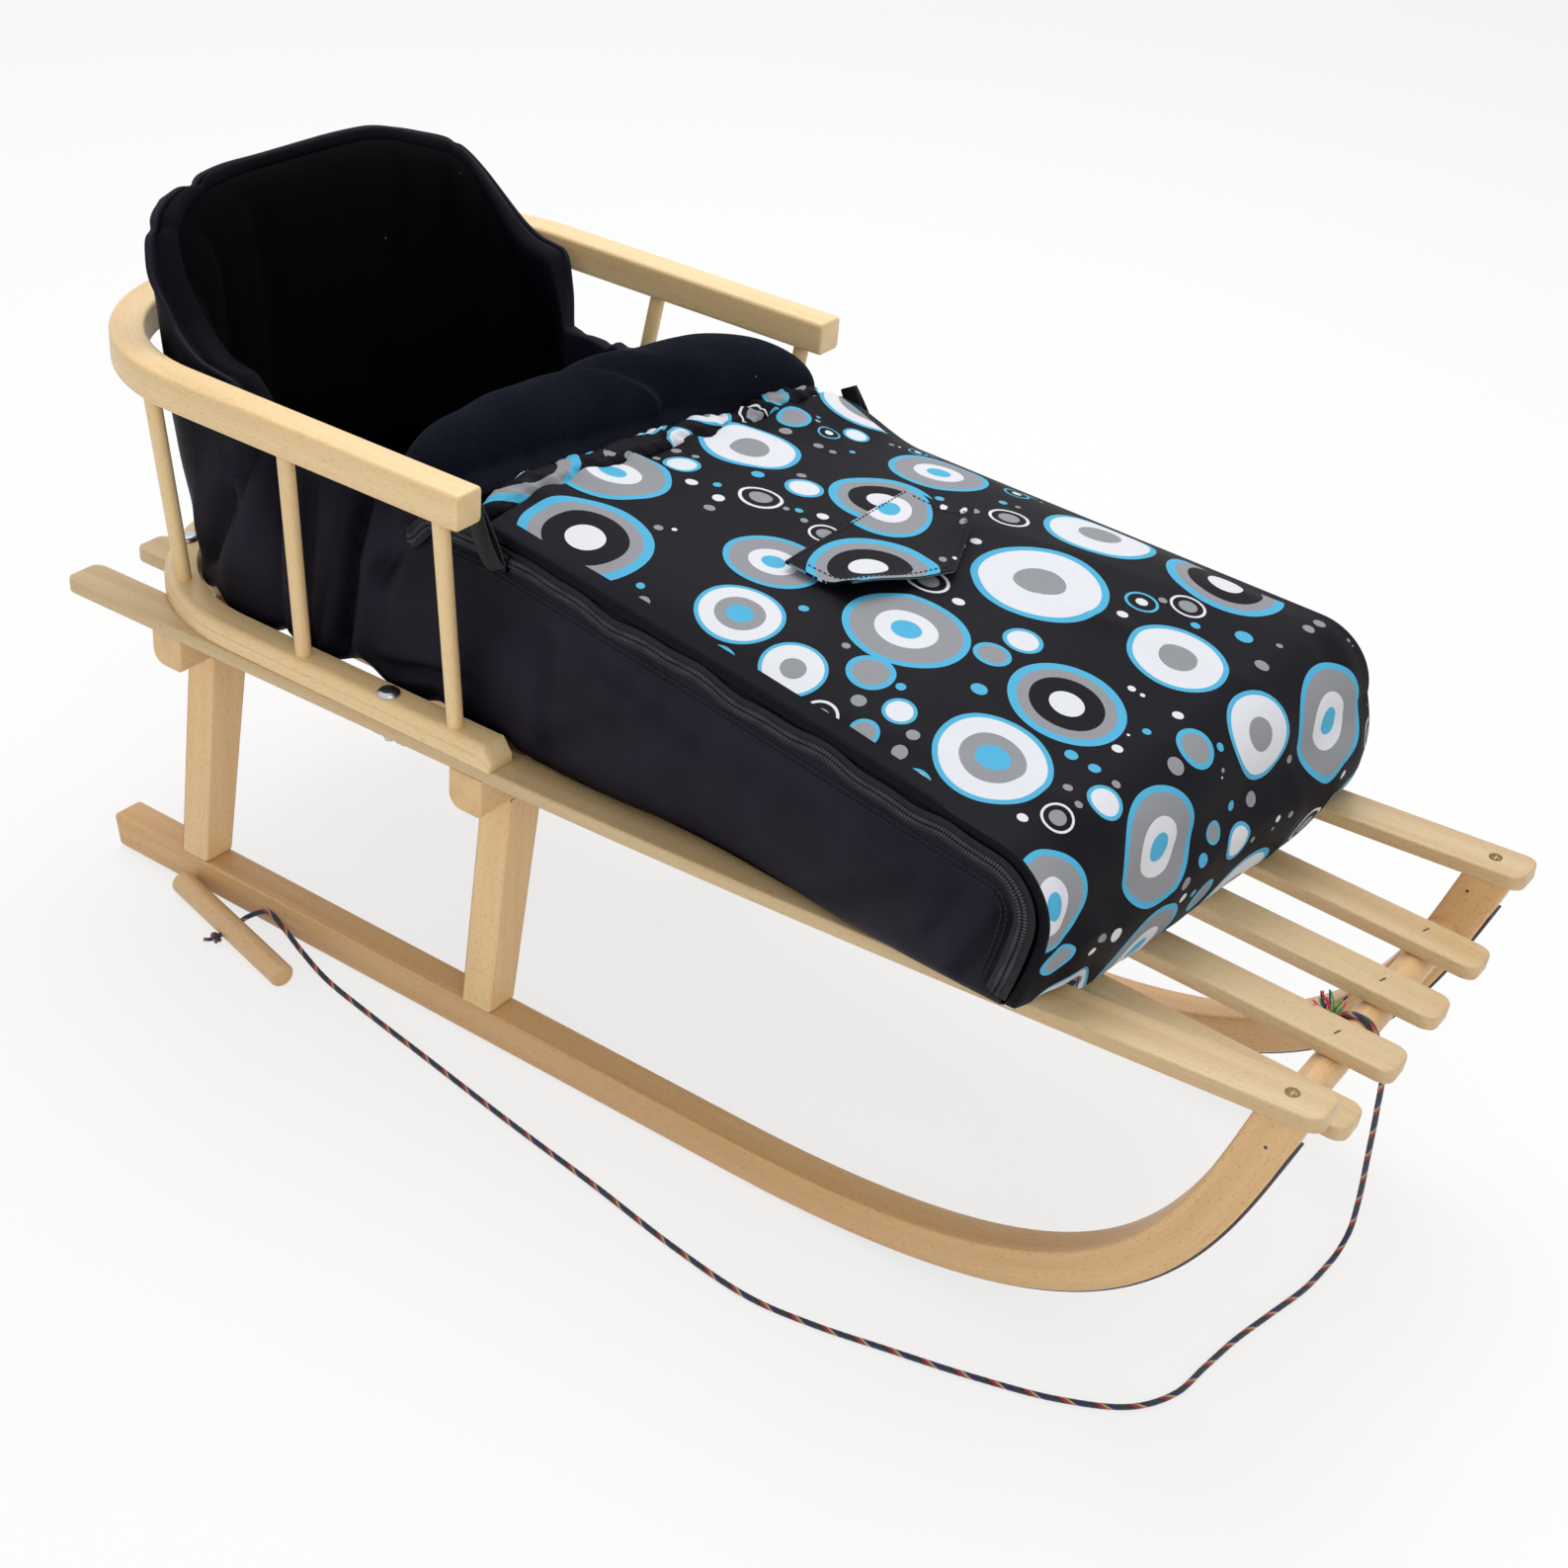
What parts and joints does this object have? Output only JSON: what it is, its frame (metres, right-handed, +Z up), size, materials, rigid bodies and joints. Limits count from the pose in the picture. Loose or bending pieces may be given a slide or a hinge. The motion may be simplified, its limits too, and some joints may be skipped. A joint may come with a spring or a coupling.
{
  "type": "baby pull sled",
  "caption": "Slatted wooden child's sled on steam-bent runners, with a railed seat, a padded footmuff with a turn-up cover, and a pull cord with a grip.",
  "frame": {"origin": "on the ground, midway along the slats and midway between the runners", "axes": "+X forward, towards the upturned runner tips; +Y to the rider's left; +Z up"},
  "size_m": [0.9, 0.4232, 0.491],
  "materials": {
    "slat": "planed beech, clear satin lacquer",
    "seat_rail": "steam-bent beech, clear satin lacquer",
    "runner": "steam-bent beech, clear satin lacquer",
    "leg": "planed beech, clear satin lacquer",
    "dowel": "turned beech, clear satin lacquer",
    "runner_steel": "cold-rolled steel strip",
    "zinc": "bright zinc plate",
    "shell_nylon": "black woven nylon",
    "fleece": "black polar fleece",
    "printed_nylon": "black nylon printed with plain discs and rings in turquoise, white and grey",
    "zip_tape": "black webbing and coil zip",
    "slider_metal": "black enamelled zip slider",
    "cord": "braided polyester cord, dark blue with coloured flecks"
  },
  "bodies": {
    "sled": {"slat_outer_right": "slat", "slat_inner_1": "slat", "slat_inner_2": "slat", "slat_inner_3": "slat", "slat_inner_4": "slat", "slat_outer_left": "slat", "seat_base_rail": "seat_rail", "seat_top_rail": "seat_rail", "spindle_right_1": "seat_rail", "spindle_right_2": "seat_rail", "spindle_right_3": "seat_rail", "spindle_right_4": "seat_rail", "spindle_left_1": "seat_rail", "spindle_left_2": "seat_rail", "spindle_left_3": "seat_rail", "spindle_left_4": "seat_rail", "runner_right": "runner", "runner_left": "runner", "leg_rear_right": "leg", "leg_rear_left": "leg", "leg_mid_right": "leg", "leg_mid_left": "leg", "crossbar_rear": "leg", "crossbar_mid": "leg", "front_dowel": "dowel", "tow_grip": "dowel", "runner_strip_right": "runner_steel", "runner_strip_left": "runner_steel", "slat_screw_right": "zinc", "slat_screw_left": "zinc", "seat_bolt_side_right": "zinc", "seat_bolt_side_left": "zinc", "seat_bolt_back_right": "zinc", "seat_bolt_back_left": "zinc", "seat_wing_nut_side_right": "zinc", "seat_wing_nut_side_left": "zinc", "seat_wing_nut_back_right": "zinc", "seat_wing_nut_back_left": "zinc", "muff_shell": "shell_nylon", "hood_lining": "fleece", "muff_seat_pad": "fleece", "muff_foot_panel": "printed_nylon", "muff_zip_right": "zip_tape", "muff_zip_left": "zip_tape", "tow_cord": "cord", "cord_knot": "cord", "grip_knot": "cord"},
    "cover": {"muff_cover": "printed_nylon", "muff_hem": "printed_nylon", "muff_collar": "fleece"},
    "flap": {"muff_pocket_flap": "printed_nylon"},
    "slider_right": {"zip_slider_right": "slider_metal"},
    "slider_left": {"zip_slider_left": "slider_metal"},
    "pull_right": {"zip_pull_right": "zip_tape"},
    "pull_left": {"zip_pull_left": "zip_tape"}
  },
  "joints": [
    {"name": "cover_open", "type": "hinge", "parent": "sled", "child": "cover", "pos_m": [0.308, 0, 0.29], "axis": [0, 1, 0], "range_deg": [0, 120]},
    {"name": "flap_lift", "type": "hinge", "parent": "cover", "child": "flap", "pos_m": [0.046, 0, 0.3705], "axis": [0, -1, 0], "range_deg": [0, 150]},
    {"name": "zip_right", "type": "slide", "parent": "sled", "child": "slider_right", "axis": [0.9918, -0.089, -0.0915], "range_m": [0, 0.34]},
    {"name": "zip_left", "type": "slide", "parent": "sled", "child": "slider_left", "axis": [0.9918, 0.089, -0.0915], "range_m": [-0.055, 0.284]},
    {"name": "pull_swing_right", "type": "hinge", "parent": "slider_right", "child": "pull_right", "pos_m": [-0.09659, -0.15077, 0.35158], "axis": [0.0887, 0.996, -0.0082], "range_deg": [-50, 120]},
    {"name": "pull_swing_left", "type": "hinge", "parent": "slider_left", "child": "pull_left", "pos_m": [-0.04158, 0.15571, 0.34651], "axis": [-0.0887, 0.996, 0.0082], "range_deg": [-50, 120]}
  ]
}
